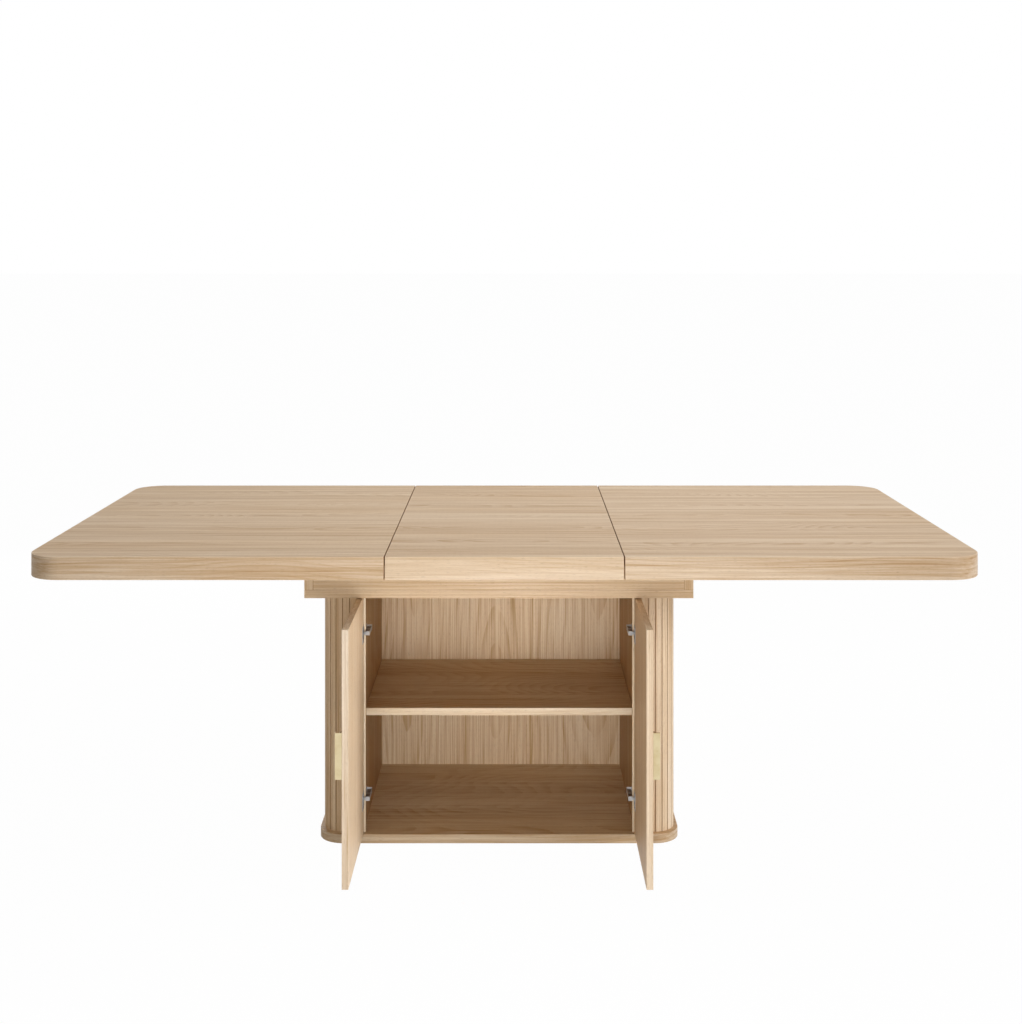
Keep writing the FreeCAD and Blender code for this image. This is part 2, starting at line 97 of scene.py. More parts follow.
# %% Graph: the node tree of one material or world
class Graph:
    """Builds a material's or a world's nodes. add() makes one and fills its sockets."""

    def __init__(self, owner):
        self.owner = owner
        owner.use_nodes = True
        self.tree = owner.node_tree
        self.tree.nodes.clear()

    def add(self, kind, settings=None, *values, **named):
        node = self.tree.nodes.new(kind)
        for key, value in (settings or {}).items():
            setattr(node, key, value)
        pairs = list(enumerate(values)) + list(named.items())
        for key, value in pairs:
            spaced = key if isinstance(key, int) else key.replace("_", " ")
            self.fill(node.inputs[spaced], value)
        outputs = [socket for socket in node.outputs if socket.enabled]
        return Wire(self, outputs[0]) if outputs else node

    def fill(self, socket, value):
        if isinstance(value, Wire):
            self.tree.links.new(value.socket, socket)
        elif value is not None:
            socket.default_value = value

    def place(self, turn=(0, 0, 0)):
        """Object coordinates, turned for one board's own grain."""
        spot = self.add("ShaderNodeTexCoord").out("Object")
        return self.add("ShaderNodeMapping", {}, Vector=spot, Rotation=turn)

    def stretch(self, vector, x, y, z):
        settings = {"operation": "MULTIPLY"}
        return self.add("ShaderNodeVectorMath", settings, vector, (x, y, z))

    def noise(self, vector, scale=1.0, detail=2.0, roughness=0.5):
        return self.add(
            "ShaderNodeTexNoise",
            {},
            Vector=vector,
            Scale=scale,
            Detail=detail,
            Roughness=roughness,
        )

    def ramp(self, value, low, high, to_low=0.0, to_high=1.0):
        """A smooth step from to_low to to_high as value goes from low to high."""
        settings = {"interpolation_type": "SMOOTHSTEP"}
        return self.add("ShaderNodeMapRange", settings, value, low, high, to_low, to_high)

    def mix(self, factor, first, second, blend="MIX"):
        """Mix two colours. The Mix node's colour sockets are numbers 6 and 7."""
        settings = {"data_type": "RGBA", "blend_type": blend}
        mixed = self.add("ShaderNodeMix", settings, factor)
        node = mixed.socket.node
        self.fill(node.inputs[6], first)
        self.fill(node.inputs[7], second)
        return Wire(self, node.outputs[2])

    def bump(self, height, strength, distance):
        return self.add(
            "ShaderNodeBump", {}, Strength=strength, Distance=distance, Height=height
        )

    def end(self, kind, shader):
        """Wire the last shader to the output."""
        self.add(kind, {}, Surface=shader)
        return self.owner

    def surface(self, **sockets):
        """Finish the material with one Principled shader."""
        shader = self.add("ShaderNodeBsdfPrincipled", {}, **sockets)
        return self.end("ShaderNodeOutputMaterial", shader)


print("materials of the bare frame", len(bpy.data.materials))


# %% A screen's colour as light
def srgb(red, green, blue):
    """A colour as a screen shows it (0 to 255), as linear light."""
    linear = []
    for value in (red, green, blue):
        share = value / 255
        low = share / 12.92
        high = ((share + 0.055) / 1.055) ** 2.4
        linear.append(low if share <= 0.04045 else high)
    return (*linear, 1.0)


print("middle grey as light", round(srgb(128, 128, 128)[0], 3))

# %% [markdown]
# ## Oak
# A board is a slice through a log, so its figure starts from rings round a pith
# that runs along the grain. Where the face lies flat over the pith the rings draw
# pointed arches, and beside it they close up into straight lines. The boards are
# veneered, so the arches start again at each strip of veneer. Over the rings come
# streaks of every width, fine fibre, and the short dark pores that tell oak from
# other pale woods. An image would tile and would not wrap round an edge; a pattern
# worked out from the place in space does both jobs without one.

# %% Which way the grain runs and which way the face looks
# Each turn brings the grain to X, the width of the face to Y and its depth to Z.
FACE_UP = (0.0, 0.0, 0.0)
FACE_FRONT = (-math.pi / 2, 0.0, 0.0)
UPRIGHT_SIDE = (0.0, math.pi / 2, 0.0)
UPRIGHT_FRONT = tuple(Matrix(((0, 0, 1), (1, 0, 0), (0, 1, 0))).to_euler())
print("upright front turns by", [round(math.degrees(angle)) for angle in UPRIGHT_FRONT])

# %% How a board is cut from the log
# strip is the width of one strip of veneer; beside and below say where the pith lies
# from its middle, pitch is the distance from ring to ring, and wander and ripple say
# how far the rings stray. line is how much of a ring is pale before its late wood.
# flame, broad and fine are the strengths of rings, wide bands and narrow streaks, and
# close is how much closer than usual the streaks lie. warm is how golden the board is.
FLAT_CUT = {
    "strip": 0.19,
    "beside": 0.0,
    "below": 0.70,
    "pitch": 0.008,
    "wander": 0.34,
    "ripple": 0.9,
    "line": 0.30,
    "flame": 0.22,
    "broad": 0.58,
    "fine": 1.08,
    "close": 1.1,
    "warm": 0.15,
}
STRAIGHT_CUT = {
    "strip": 0.90,
    "beside": 0.60,
    "below": 0.0,
    "pitch": 0.020,
    "wander": 0.10,
    "ripple": 0.25,
    "line": 0.66,
    "flame": 0.30,
    "broad": 0.45,
    "fine": 1.15,
    "close": 1.0,
    "warm": 0.15,
}
CROWN_CUT = {
    "strip": 0.26,
    "beside": 0.02,
    "below": 0.30,
    "pitch": 0.020,
    "wander": 0.34,
    "ripple": 0.30,
    "line": 0.45,
    "flame": 0.32,
    "broad": 0.52,
    "fine": 1.75,
    "close": 3.0,
    "warm": 0.15,
}
for title, cut in (("flat", FLAT_CUT), ("straight", STRAIGHT_CUT), ("crown", CROWN_CUT)):
    print(title, "cut has a ring every", cut["pitch"] * 1000, "mm")


# %% How often each pattern repeats in a metre
# The first number runs along the grain and the other two across it.
SWAY = (0.9, 1.6, 1.6)
RIPPLE = (3.0, 45.0, 45.0)
CLOUD = (0.5, 7.0, 7.0)
BAND = (0.7, 26.0, 26.0)
STREAK = (1.6, 110.0, 110.0)
FIBRE = (9.0, 620.0, 620.0)
PORES = (70.0, 1500.0, 1500.0)
for title, repeats in (("band", BAND), ("streak", STREAK), ("fibre", FIBRE), ("pore", PORES)):
    print(title, "about", round(1000 / repeats[1], 1), "mm wide")


# %% Rings of one board
def rings(graph, spot, sway, cut):
    """Dark late wood of the growth rings, and a tone of its own for each strip."""
    split = graph.add("ShaderNodeSeparateXYZ", {}, spot)
    swing = graph.add("ShaderNodeSeparateColor", {}, sway.out("Color"))
    width = split.out("Y")
    strip = cut["strip"]
    side = width.maths("WRAP", strip / 2, -strip / 2) + cut["beside"]
    side = side + (swing.out("Red") - 0.5) * (cut["wander"] / 2)
    deep = split.out("Z") - cut["below"] + (swing.out("Green") - 0.5) * cut["wander"]
    distance = (side * side + deep * deep) ** 0.5
    ripple = graph.noise(graph.stretch(spot, *RIPPLE), 1.0, 2.0)
    phase = (distance * (1 / cut["pitch"]) + ripple * cut["ripple"]).maths("FRACT")
    late = graph.ramp(phase, cut["line"], 0.94) * graph.ramp(phase, 1.0, 0.96)
    number = (width * (1 / strip) + 0.5).maths("FLOOR")
    tone = graph.add("ShaderNodeTexWhiteNoise", {"noise_dimensions": "1D"}, W=number + 3.7)
    return late, tone


print("rings use a cut's strip, beside, below, pitch, wander, ripple and line")


# %% One board's figure
def figure(graph, place, seed, cut, shade):
    """How dark the wood is, from 0 (pale) to 1 (dark), its pores, fibre and warmth."""
    offset = (seed * 3.17, seed * 1.73, seed * 0.61)
    spot = graph.add("ShaderNodeVectorMath", {"operation": "ADD"}, place, offset)
    sway = graph.noise(graph.stretch(spot, *SWAY), 1.0, 2.0)
    late, tone = rings(graph, place, sway, cut)
    cloud = graph.noise(graph.stretch(spot, *CLOUD), 1.0, 2.0)
    band = graph.noise(graph.stretch(spot, *BAND), 1.0, 3.0, 0.6)
    along, across, inward = STREAK
    packed = graph.stretch(spot, along, across * cut["close"], inward * cut["close"])
    streak = graph.noise(packed, 1.0, 3.0, 0.62)
    fibre = graph.noise(graph.stretch(spot, *FIBRE), 1.0, 3.0, 0.6)
    field = graph.noise(graph.stretch(spot, *PORES), 1.0, 1.0, 0.4)
    pores = graph.ramp(field, 0.60, 0.72) * (0.35 + (1 - late) * 0.5)
    broad = (cloud - 0.5) * 0.55 + (band - 0.5) * 0.85
    fine = (streak - 0.5) * 0.95 + (fibre - 0.5) * 0.55
    dark = late * graph.ramp(band, 0.30, 0.62) * cut["flame"] + (tone - 0.5) * 0.07
    dark = dark + shade + broad * cut["broad"] + fine * cut["fine"]
    warm = graph.ramp(cloud.out("Color"), 0.42, 0.62) * 0.14 + cut["warm"] + (dark - shade)
    return dark, pores, fibre, warm


print("a board's tone comes from rings, bands, streaks, fibre and its strip of veneer")


# %% The oak material
GOLDEN = (1.0, 0.86, 0.60, 1.0)
LIP_TINT = (0.97, 1.0, 1.05, 1.0)


def marked(graph, name):
    """A number that the mesh carries for each face."""
    return graph.add("ShaderNodeAttribute", {"attribute_name": name}).out("Fac")


def oak(name, face, seed, cut, shade, tint, edge=None, edge_shade=0.3, edge_cut=None):
    """Lacquered oak. edge is the turn for the narrow faces, if they need their own."""
    graph = Graph(bpy.data.materials.new(name))
    pale = tuple(c * t for c, t in zip(PALE, tint)) + (1.0,)
    deep = tuple(c * t for c, t in zip(DEEP, tint)) + (1.0,)
    marks = figure(graph, graph.place(turn=face), seed, cut, shade)
    if edge:
        along = graph.stretch(graph.place(turn=edge), 1.0, 1.0, 0.3)
        narrow = figure(graph, along, seed + 0.5, edge_cut or EDGE_CUT, edge_shade)
        lip = marked(graph, "lip")
        marks = [a + (b - a) * lip for a, b in zip(marks, narrow)]
    dark, pores, fibre, warm = marks
    eased = marked(graph, "eased")
    depth = (dark + marked(graph, "slat") * SLAT_TONE).maths("ADD", 0.0, clamp=True)
    colour = graph.mix(depth, pale, deep)
    warm = warm.maths("ADD", 0.0, clamp=True)
    colour = graph.mix(warm, colour, GOLDEN, blend="MULTIPLY")
    if edge:
        colour = graph.mix(lip, colour, LIP_TINT, blend="MULTIPLY")
    colour = graph.mix(pores * 0.38, colour, PORE)
    colour = graph.mix(eased * 0.30, colour, tuple(c * 1.08 for c in pale[:3]) + (1.0,))
    # Painted shade: faces marked in grooves and seams are darkened for the shadow in them; the
    # box's joints take the same mark as dark joints.
    colour = graph.mix(marked(graph, "painted_dark_and_joints"), colour, PAINTED_SHADE_AND_JOINT_COLOUR, blend="MULTIPLY")
    return graph.surface(
        Base_Color=colour,
        Roughness=0.52 + (fibre - 0.5) * 0.14 + pores * 0.12 - eased * 0.08,
        Specular_IOR_Level=0.30,
        Normal=graph.bump(fibre * 0.35 - pores, 0.07, 0.0004),
    )


print("golden wood keeps", GOLDEN[:3], "of its light")


# %% Colours of the oak and gentler cuts of it
PALE = srgb(243, 223, 192)[:3]
DEEP = srgb(172, 134, 89)[:3]
PORE = srgb(126, 86, 42)
# Colour multiplied in for painted shade in grooves and seams, and for dark joints.
PAINTED_SHADE_AND_JOINT_COLOUR = srgb(190, 156, 120)
SLAT_TONE = 0.16
FINE_CUT = {**STRAIGHT_CUT, "flame": 0.08, "broad": 0.26, "fine": 1.25, "close": 1.9}
EDGE_CUT = {
    **STRAIGHT_CUT,
    "pitch": 0.011,
    "wander": 0.40,
    "line": 0.5,
    "flame": 0.19,
    "broad": 0.30,
    "warm": 0.07,
}
CALM_EDGE = {**EDGE_CUT, "flame": 0.12, "broad": 0.14, "fine": 0.85, "warm": 0.02}
CALM_CUT = {**FLAT_CUT, "ripple": 0.7, "fine": 1.0}
LEAF_CUT = {**FLAT_CUT, "broad": 0.46}
BOX_CUT = {**FINE_CUT, "broad": 0.10, "fine": 1.1, "close": 3.0}
print("pale and deep oak", [round(c, 2) for c in PALE], [round(c, 2) for c in DEEP])

# %% Oak for each part of the table
# Boards of one table come from several trees, so each has a tint of its own.
# Some tints are painted light instead: the left door and the right skin are paler as if lit,
# the right door and the left skin darker as painted shade, and the side panels' inner
# faces very dark as painted shade.
TOP = (1.03, 1.0, 1.01)
INSIDE = (0.99, 1.0, 1.02)
LEFT = (1.01, 1.01, 1.06)
RIGHT = (0.97, 0.95, 0.96)
SHADY = (1.0, 0.96, 0.92)
BRIGHT = (1.0, 1.01, 1.06)
OAK = {
    "left_half": oak("oak_left_half", FACE_UP, 1, FLAT_CUT, 0.32, TOP, FACE_FRONT, 0.51),
    "leaf": oak("oak_leaf", FACE_UP, 15, LEAF_CUT, 0.37, TOP, FACE_FRONT, 0.32, CALM_EDGE),
    "right_half": oak("oak_right_half", FACE_UP, 3, FLAT_CUT, 0.365, TOP, FACE_FRONT, 0.51),
    "box": oak("oak_box", FACE_FRONT, 4, BOX_CUT, 0.37, INSIDE),
    "box_end": oak("oak_box_end", UPRIGHT_SIDE, 5, BOX_CUT, 0.37, INSIDE),
    # Painted light: the left skin is darker and warmer as painted shade, the right skin paler as
    # if lit.
    "left_skin": oak("oak_left_skin", UPRIGHT_SIDE, 6, STRAIGHT_CUT, 0.20, SHADY),
    "right_skin": oak("oak_right_skin", UPRIGHT_SIDE, 6, STRAIGHT_CUT, 0.20, BRIGHT),
    "rear_skin": oak("oak_rear_skin", UPRIGHT_FRONT, 14, STRAIGHT_CUT, 0.20, INSIDE),
    # Painted shade: the side panels' inner faces are very dark for the shade inside the cabinet.
    "side": oak("oak_side", UPRIGHT_SIDE, 7, CALM_CUT, 0.92, INSIDE, UPRIGHT_FRONT, 0.05),
    "back": oak("oak_back", UPRIGHT_FRONT, 8, CROWN_CUT, 0.14, INSIDE),
    "shelf": oak("oak_shelf", FACE_UP, 9, CALM_CUT, 0.54, INSIDE, FACE_FRONT, 0.07),
    "base": oak("oak_base", FACE_UP, 10, CALM_CUT, 0.36, INSIDE, FACE_FRONT, 0.52),
    # Painted light: the left door is paler as if lit, the right door darker as painted shade.
    "left_door": oak(
        "oak_left_door", UPRIGHT_SIDE, 11, FINE_CUT, 0.02, LEFT, UPRIGHT_FRONT, 0.34
    ),
    "right_door": oak(
        "oak_right_door", UPRIGHT_SIDE, 13, FINE_CUT, 0.40, RIGHT, UPRIGHT_FRONT, 0.36
    ),
}
BEECH = oak("beech", FACE_UP, 12, STRAIGHT_CUT, 0.45, (0.98, 0.88, 0.78))
print("oak finishes", ", ".join(OAK))

# %% Axis along which a board is thin, if its narrow faces have grain of their own
LEVEL_BOARDS = ("left_half", "leaf", "right_half", "shelf", "base")
UPRIGHT_BOARDS = ("side", "left_door", "right_door")
LIP_AXIS = {OAK[part].name: 2 for part in LEVEL_BOARDS}
LIP_AXIS.update({OAK[part].name: 0 for part in UPRIGHT_BOARDS})
print("boards thin along X or Z", LIP_AXIS)


# %% [markdown]
# ## Metal and felt
# The pulls are pale brushed brass and the hinges nickel plate. Brushing is fine
# noise stretched along one direction, in roughness and a very small bump.
# Felt is matt, mottled and a little furry, so it gets only noise and bump.


# %% Brushed metal
def brushed(name, tint, shade, along, roughness, dark):
    """Brushed metal; dark is painted on marked faces: shade in a hinge's channel, a dark
    reflection on a pull's upper end.
    """
    graph = Graph(bpy.data.materials.new(name))
    spot = graph.place()
    lines = graph.noise(graph.stretch(spot, *along), 1.0, 3.0, 0.6)
    cloud = graph.noise(spot, 38.0, 3.0, 0.6)
    colour = graph.mix(graph.ramp(cloud, 0.35, 0.75), tint, shade)
    # Painted shade and painted reflection: marked faces take the dark colour.
    colour = graph.mix(marked(graph, "painted_dark_and_joints"), colour, dark)
    return graph.surface(
        Base_Color=colour,
        Metallic=1.0,
        Roughness=roughness + (lines - 0.5) * 0.16 + (cloud - 0.5) * 0.10,
        Normal=graph.bump(lines, 0.12, 0.0001),
    )


PALE_GOLD = srgb(226, 210, 171)
DULL_GOLD = srgb(214, 194, 150)
# Painted reflection: the darker gold of a pull's upper end.
PAINTED_REFLECTION_GOLD = srgb(160, 122, 62)
PLATED = srgb(214, 215, 217)
DULL_PLATED = srgb(190, 192, 195)
# Painted shade: the dark floor of a hinge's channel.
PAINTED_SHADE_STEEL = srgb(96, 88, 82)
BRASS = brushed("pale_brass", PALE_GOLD, DULL_GOLD, (900, 900, 25), 0.42, PAINTED_REFLECTION_GOLD)
NICKEL = brushed("nickel", PLATED, DULL_PLATED, (700, 60, 700), 0.40, PAINTED_SHADE_STEEL)
print("metals", BRASS.name, NICKEL.name)


# %% Felt
def felt():
    graph = Graph(bpy.data.materials.new("felt"))
    spot = graph.place()
    fuzz = graph.noise(spot, 900.0, 4.0, 0.7)
    mottle = graph.noise(spot, 120.0, 2.0)
    shade = fuzz * 0.6 + mottle * 0.4
    colour = graph.mix(graph.ramp(shade, 0.3, 0.7), srgb(92, 82, 72), srgb(58, 51, 45))
    return graph.surface(
        Base_Color=colour, Roughness=0.95, Normal=graph.bump(fuzz, 0.6, 0.0006)
    )


FELT = felt()
print("materials", len(bpy.data.materials))


# %% [markdown]
# ## Eased arrises
# CAD boards have knife-sharp edges; a sanded board does not, and the thin bright
# line along an eased edge is most of what makes furniture look real. The CAD mesh
# stays untouched: each board gets a copy, its loose triangles are joined, and its
# sharp edges are bevelled. New faces are marked so the oak can wear there.


# %% Which edges are sharp
ARRIS_ANGLE = math.radians(30)


def sharp_edges(bm, wanted):
    """Edges between two faces at an angle, whose middle point is wanted."""
    found = []
    for edge in bm.edges:
        if len(edge.link_faces) != 2 or edge.calc_face_angle() < ARRIS_ANGLE:
            continue
        if wanted(edge):
            found.append(edge)
    return found


print("an arris turns by over", round(math.degrees(ARRIS_ANGLE)), "degrees")

# %% A tone for each slat
SLAT_SEED = 7


def tone_slats(bm, painted_dark_and_joints):
    """Give each slat between two grooves a tone of its own, from -0.5 to 0.5."""
    slat = bm.faces.layers.float.new("slat")
    chance = random.Random(SLAT_SEED)
    bm.faces.index_update()
    waiting = {face.index for face in bm.faces if not face[painted_dark_and_joints] and abs(face.normal.z) < 0.5}
    bm.faces.ensure_lookup_table()
    for first in list(bm.faces):
        if first.index not in waiting:
            continue
        tone = chance.uniform(-0.5, 0.5)
        waiting.discard(first.index)
        reached = [first]
        while reached:
            face = reached.pop()
            face[slat] = tone
            for edge in face.edges:
                for other in edge.link_faces:
                    if other.index in waiting:
                        waiting.discard(other.index)
                        reached.append(other)


print("slat tones start from seed", SLAT_SEED)


# %% Turn a bmesh into a piece
SHARP_ANGLE = math.radians(50)


def finished(bm, name, body, finish, nodes=()):
    """Turn a bmesh into a piece that rides on a body and takes a finish."""
    for face in bm.faces:
        face.smooth = True
    for edge in bm.edges:
        edge.smooth = edge.calc_face_angle(0.0) < SHARP_ANGLE
    mesh = bpy.data.meshes.new(name)
    bm.to_mesh(mesh)
    bm.free()
    mesh.materials.clear()
    mesh.materials.append(finish)
    piece = bpy.data.objects.new(name, mesh)
    bpy.context.scene.collection.objects.link(piece)
    normals = piece.modifiers.new("flat faces stay flat", "WEIGHTED_NORMAL")
    normals.keep_sharp = True
    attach(piece, body)
    if nodes:
        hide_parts(*nodes)
    return piece


print("smooth shading stops at", round(math.degrees(SHARP_ANGLE)), "degrees")


# %% Copy a CAD node and ease its edges
LIP_LIMIT = 0.6


def everywhere(edge):
    return True


def nowhere(face):
    return 0.0


def uncarved(bm):
    return None


def eased_board(
    node,
    body,
    finish,
    radius=0.0008,
    wanted=everywhere,
    segments=2,
    shade=nowhere,
    carve=uncarved,
):
    """The visible board that stands for a CAD node, with its arrises eased."""
    bm = bmesh.new()
    bm.from_mesh(NODES[node].data)
    bmesh.ops.remove_doubles(bm, verts=bm.verts, dist=1e-5)
    bmesh.ops.dissolve_limit(
        bm, angle_limit=math.radians(0.5), verts=bm.verts, edges=bm.edges
    )
    carve(bm)
    eased = bm.faces.layers.float.new("eased")
    made = bmesh.ops.bevel(
        bm,
        geom=sharp_edges(bm, wanted),
        offset=radius,
        offset_type="OFFSET",
        segments=segments,
        profile=0.5,
        affect="EDGES",
        clamp_overlap=True,
        material=-1,
    )
    for face in made["faces"]:
        face[eased] = 1.0
    painted_dark_and_joints = bm.faces.layers.float.new("painted_dark_and_joints")
    lip = bm.faces.layers.float.new("lip")
    axis = LIP_AXIS.get(finish.name)
    for face in bm.faces:
        face[painted_dark_and_joints] = shade(face)
        face[eased] *= 1.0 - face[painted_dark_and_joints]
        if axis is not None:
            face[lip] = float(abs(face.normal[axis]) < LIP_LIMIT)
    if "fluted" in node or node.endswith("door_panel"):
        tone_slats(bm, painted_dark_and_joints)
    return finished(bm, f"{node}_board", body, finish, [node])


print("solids that can be dressed", len(NODES))

# %% [markdown]
# ## The top
# Panel and edge bands are flush and the veneer runs over both, so the joint between
# them must not be eased. Only edges on the outline of the top and at the leaf's
# seams are. The outline is a rounded rectangle, and a signed distance to it tells
# whether an edge lies on it.

# %% Edges of the top
BAND_LOW, BAND_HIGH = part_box("right_end_band")
HALF_LENGTH = BAND_HIGH.x
HALF_DEPTH = BAND_HIGH.y
END_BAND_WIDTH = HALF_LENGTH - BAND_LOW.x
STRAIGHT_END = BAND_LOW.x
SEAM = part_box("right_front_band")[0].x
NEAR = 0.003
ON_JOINT = 1e-4
SAME_X = 1e-5


def middle(edge):
    return (edge.verts[0].co + edge.verts[1].co) / 2


def at_seam(edge):
    return abs(abs(middle(edge).x) - SEAM) < NEAR


def on_outline(edge):
    """True for an edge along the top's outline or at a seam, not at a band's joint."""
    point = middle(edge)
    crosswise = abs(edge.verts[0].co.x - edge.verts[1].co.x) < SAME_X
    if crosswise and abs(abs(point.x) - STRAIGHT_END) < ON_JOINT:
        return False
    dx = abs(point.x) - STRAIGHT_END
    dy = abs(point.y) - (HALF_DEPTH - END_BAND_WIDTH)
    outside = math.hypot(max(dx, 0.0), max(dy, 0.0)) + min(max(dx, dy), 0.0)
    return abs(outside - END_BAND_WIDTH) < NEAR or at_seam(edge)


def seam_shade(face):
    """The two faces of a seam never see much light, so they are darkened as painted shade."""
    centre = face.calc_center_median()
    return 0.9 if abs(abs(centre.x) - SEAM) < NEAR and abs(face.normal.x) > 0.3 else 0.0


print("seams at", round(SEAM, 4), "m; end bands", round(END_BAND_WIDTH, 4), "m wide")


# %% Boards of the top
EDGE_RADIUS = 0.0015
SEAM_RADIUS = 0.0004
RUNNER_RADIUS = 0.001
BATTEN_RADIUS = 0.0015
for half in ("left", "right"):
    body = f"{half}_half"
    wood = OAK[body]
    eased_board(f"{half}_top_panel", body, wood, SEAM_RADIUS, at_seam, 2, seam_shade)
    for part in ("front", "rear", "end"):
        node = f"{half}_{part}_band"
        eased_board(node, body, wood, EDGE_RADIUS, on_outline, 3, seam_shade)
    for part in ("front", "rear"):
        eased_board(f"{half}_{part}_runner", body, BEECH, RUNNER_RADIUS)

wood = OAK["leaf"]
eased_board("leaf_panel", "leaf", wood, SEAM_RADIUS, at_seam, 2, seam_shade)
for part in ("front", "rear"):
    node = f"leaf_{part}_band"
    eased_board(node, "leaf", wood, EDGE_RADIUS, on_outline, 3, seam_shade)
for half in ("left", "right"):
    eased_board(f"leaf_{half}_batten", "leaf", BEECH, BATTEN_RADIUS)

# %% [markdown]
# ## Rail box and cabinet
# These boards are plain, so one table says which oak each takes. The fluted skin is
# bevelled along every groove, which gives the slats their soft shoulders, and the
# grooves' inner faces are darkened as painted shade, for the shadow that falls in them.
# Joints between two boards are V-shaped and thin, and darkened as well.

# %% Joints and grooves
BOX_FLOOR_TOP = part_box("box_floor_board")[1].z
BOX_BOARD_LOW, BOX_BOARD_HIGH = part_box("box_front_board")
SKIN_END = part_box("right_fluted_wrap")[1]
CABINET_X = (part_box("left_fluted_wrap")[0].x + SKIN_END.x) / 2
CABINET_HALF = Vector((SKIN_END.x - CABINET_X, SKIN_END.y))
CABINET_CORNER = 0.055
GROOVE_DEPTH = 0.003
BELOW_BEVEL = 0.0008
SLACK = 0.0002
JOINT_REACH = 0.001
JOINT_AREA = 0.0015


def joint_shade(face):
    """Bevels where the box's boards meet."""
    centre = face.calc_center_median()
    level = abs(centre.z - BOX_FLOOR_TOP) < JOINT_REACH
    to_ends = (abs(centre.x - BOX_BOARD_LOW.x), abs(centre.x - BOX_BOARD_HIGH.x))
    upright = min(to_ends) < JOINT_REACH
    small = face.calc_area() < JOINT_AREA
    return 0.8 if small and (level or upright) else 0.0


def skin_depth(x, y):
    """How far a point lies inside the cabinet's rounded outline."""
    dx = abs(x - CABINET_X) - CABINET_HALF.x + CABINET_CORNER
    dy = abs(y) - CABINET_HALF.y + CABINET_CORNER
    outside = math.hypot(max(dx, 0.0), max(dy, 0.0)) + min(max(dx, dy), 0.0)
    return CABINET_CORNER - outside


def grooved(face, depth):
    """Shade of an upright face at this depth, if that lies inside a groove."""
    inside = BELOW_BEVEL < depth < GROOVE_DEPTH + SLACK
    # Painted shade: the walls and floor of a groove are darkened for the shadow inside it.
    return 0.85 if inside and abs(face.normal.z) < 0.5 else 0.0


def groove_shade(face):
    """Walls and floor of a groove in the fluted skin."""
    centre = face.calc_center_median()
    on_skin = abs(centre.y) < CABINET_HALF.y - SLACK
    return grooved(face, skin_depth(centre.x, centre.y)) if on_skin else 0.0


DOOR_OUTER = abs(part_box("left_door_panel")[0].x - CABINET_X)


def door_groove_shade(face):
    """The same for a door, which stands open with its fluted face outward."""
    return grooved(face, DOOR_OUTER - abs(face.calc_center_median().x - CABINET_X))


print("cabinet, half size", [round(half, 4) for half in CABINET_HALF])


# %% Boards of the box and the cabinet
# Each node has an oak, a slot name and the rule for its toned-down faces.
BOARD_RADIUS = 0.0005
BOARDS = {
    "box_floor_board": ("box", "oak_box", joint_shade),
    "box_front_board": ("box", "oak_box", joint_shade),
    "box_rear_board": ("box", "oak_box", joint_shade),
    "box_left_end": ("box_end", "oak_box", joint_shade),
    "box_right_end": ("box_end", "oak_box", joint_shade),
    "back_panel": ("back", "oak_inside", nowhere),
    "middle_shelf": ("shelf", "oak_inside", nowhere),
    "left_side_panel": ("side", "oak_inside", nowhere),
    "right_side_panel": ("side", "oak_inside", nowhere),
    "left_fluted_wrap": ("left_skin", "oak_fluted", groove_shade),
    "right_fluted_wrap": ("right_skin", "oak_fluted", groove_shade),
    "rear_fluted_panel": ("rear_skin", "oak_fluted", groove_shade),
    "base_plate": ("base", "oak_base", nowhere),
}
for node, (wood, slot, shade) in BOARDS.items():
    eased_board(node, "cabinet", OAK[wood], BOARD_RADIUS, shade=shade)
print("boards of the cabinet", len(BOARDS))


# %% [markdown]
# ## Doors and pulls
# A door is one fluted board that rides on its hinge, with a strip of brass let into
# its edge. The brass is pale; its upper end is darkened as a painted reflection of the
# dark wood above it. Both keep the CAD shape; a rounder arris is all that a copy has to add.


# %% Doors with their pulls
DOOR_RADIUS = 0.0006


def pull_painted_reflection(face):
    """The upper end of a pull, darkened as a painted reflection of the dark wood above it."""
    return 0.9 if face.normal.z > 0.3 else 0.0


for half in ("left", "right"):
    body = f"{half}_door"
    wood = OAK[body]
    panel, pull = f"{half}_door_panel", f"{half}_door_pull"
    eased_board(panel, body, wood, DOOR_RADIUS, shade=door_groove_shade)
    eased_board(pull, body, BRASS, DOOR_RADIUS, segments=3, shade=pull_painted_reflection)

# %% [markdown]
# ## Small parts that stay as they are
# Rails, ribs, shelf pins and glides are hidden or tiny, and their CAD shape is right.
# They keep it and only get a better material in their slots.

# %% Rails, ribs, pins and glides
SMALL_PARTS = {"_rail": BEECH, "_rib": BEECH, "_pin": NICKEL, "glide_": FELT}
for ending, finish in SMALL_PARTS.items():
    parts = [node for name, node in NODES.items() if ending in name]
    for node in parts:
        node.data.materials.clear()
        node.data.materials.append(finish)
    print(ending.strip("_"), len(parts), finish.name)

# %% [markdown]
# ## Hinges
# A concealed hinge has a cup pressed into the door and an arm on the side panel. The
# arm is folded from sheet, so it is an open channel; seen from above its inside is a
# dark slot. Both copies are a little lower than the CAD solids, which stand for the
# room that a hinge needs, and their edges are rounded as stamped steel is.

# %% Arms and cups
SLIM = 0.75
SHEET = 0.0016
CHANNEL_DEPTH = 0.0042
CHANNEL_AREA = 2.5e-4
ARM_RADIUS = 0.0004
CUP_RADIUS = 0.0003


def slimmed(bm):
    """Make a hinge part lower about its own middle."""
    heights = [v.co.z for v in bm.verts]
    centre = Vector((0, 0, (min(heights) + max(heights)) / 2))
    space = Matrix.Translation(-centre)
    bmesh.ops.scale(bm, vec=(1, 1, SLIM), space=space, verts=bm.verts)


